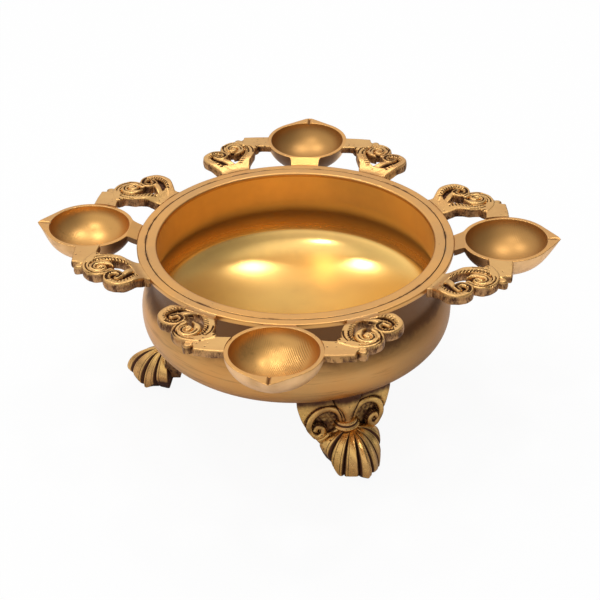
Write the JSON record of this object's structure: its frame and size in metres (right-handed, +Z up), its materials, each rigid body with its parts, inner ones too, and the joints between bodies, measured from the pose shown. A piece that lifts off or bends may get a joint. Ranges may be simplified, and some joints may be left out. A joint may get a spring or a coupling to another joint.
{
  "type": "decorative diya bowl",
  "caption": "Round footed brass bowl for floating flowers, with leaf-shaped oil lamp cups on openwork scroll brackets round its flat rim and fluted shell feet",
  "frame": {"origin": "on the bowl's axis, at the ground under the feet", "axes": "+Z is up along the bowl's axis, +X points out through the cup on the right of the picture, and -Y points out through the cup nearest the camera"},
  "size_m": [0.3048, 0.3048, 0.1092],
  "materials": {
    "bowl_brass": "turned brass, polished inside and satin with fine turning lines outside",
    "rim_brass": "turned flat brass, smooth, with a dark brazed seam",
    "cup_brass": "cast brass, ground inside, with a flat filed rim",
    "scroll_brass": "cast brass, chased on top, with dark patina in the recesses",
    "foot_brass": "cast brass, polished on the high lobes, with dark patina in the flutes"
  },
  "bodies": {
    "root": {"bowl": "bowl_brass", "rim_ring": "rim_brass", "diya_cup_front": "cup_brass", "diya_cup_right": "cup_brass", "diya_cup_back": "cup_brass", "diya_cup_left": "cup_brass", "scroll_front_left": "scroll_brass", "scroll_front_right": "scroll_brass", "scroll_right_left": "scroll_brass", "scroll_right_right": "scroll_brass", "scroll_back_left": "scroll_brass", "scroll_back_right": "scroll_brass", "scroll_left_left": "scroll_brass", "scroll_left_right": "scroll_brass", "foot_left": "foot_brass", "foot_front": "foot_brass", "foot_back": "foot_brass"}
  },
  "joints": []
}
